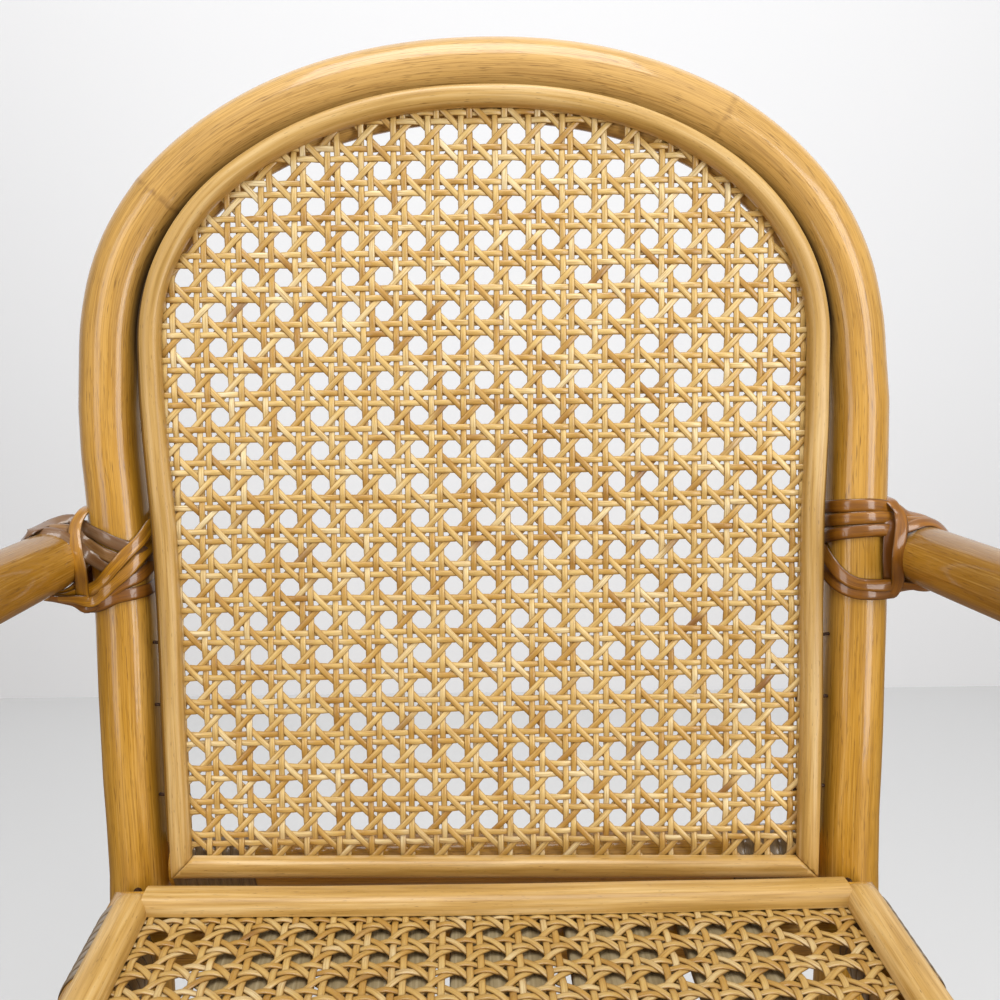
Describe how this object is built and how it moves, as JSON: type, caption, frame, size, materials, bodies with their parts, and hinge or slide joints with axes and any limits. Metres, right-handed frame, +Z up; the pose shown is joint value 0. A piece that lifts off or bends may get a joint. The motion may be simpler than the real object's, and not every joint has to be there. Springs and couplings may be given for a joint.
{
  "type": "child's rattan armchair with a cane back",
  "caption": "Child's armchair of bent rattan poles, with an arched cane back panel, a cane seat, arms that bend down into the front legs, and peel bindings at the joints.",
  "frame": {"origin": "on the floor, under the middle of the overall box", "axes": "+Z up, -Y the way the sitter faces, +X to the right seen from the front"},
  "size_m": [0.3706, 0.3751, 0.6107],
  "materials": {
    "pole": "varnished rattan with its skin on, golden amber",
    "bead": "split rattan core, half round, lightly varnished",
    "cane": "woven cane, glossy skin side out",
    "peel": "flat strips of rattan skin, varnished, reddish tan",
    "rail_peel": "flat strips of rattan skin, grey-brown",
    "slat": "plain split strips, pale grey-brown",
    "steel": "plain wire nails and screws"
  },
  "bodies": {
    "root": {"back_hoop": "pole", "back_cross_rail": "pole", "panel_ring": "pole", "back_cane": "cane", "panel_bead": "bead", "panel_bottom_bead": "bead", "seat_rail_left": "pole", "seat_rail_right": "pole", "seat_rail_front": "pole", "seat_rail_rear": "pole", "seat_cane": "cane", "seat_bead_left": "bead", "seat_bead_right": "bead", "seat_bead_front": "bead", "seat_bead_rear": "bead", "seat_slat_1": "slat", "seat_slat_2": "slat", "seat_slat_3": "slat", "seat_slat_4": "slat", "seat_slat_5": "slat", "stretcher_front": "pole", "stretcher_rear": "pole", "stretcher_left": "pole", "stretcher_right": "pole", "arm_left": "pole", "arm_right": "pole", "arm_binding_left": "peel", "arm_binding_right": "peel", "arm_collar_left": "peel", "arm_collar_right": "peel", "cross_rail_binding_left": "rail_peel", "cross_rail_binding_right": "rail_peel", "side_rail_binding_left": "rail_peel", "side_rail_binding_right": "rail_peel", "front_leg_binding_left": "peel", "front_leg_binding_right": "peel", "ring_nail_left_1": "steel", "ring_nail_left_2": "steel", "ring_nail_left_3": "steel", "ring_nail_right_1": "steel", "ring_nail_right_2": "steel", "ring_nail_right_3": "steel", "arm_screw_left": "steel", "arm_screw_right": "steel", "cross_rail_screw_left": "steel", "cross_rail_screw_right": "steel", "side_rail_screw_left": "steel", "side_rail_screw_right": "steel", "front_leg_screw_left": "steel", "front_leg_screw_right": "steel"}
  },
  "joints": []
}
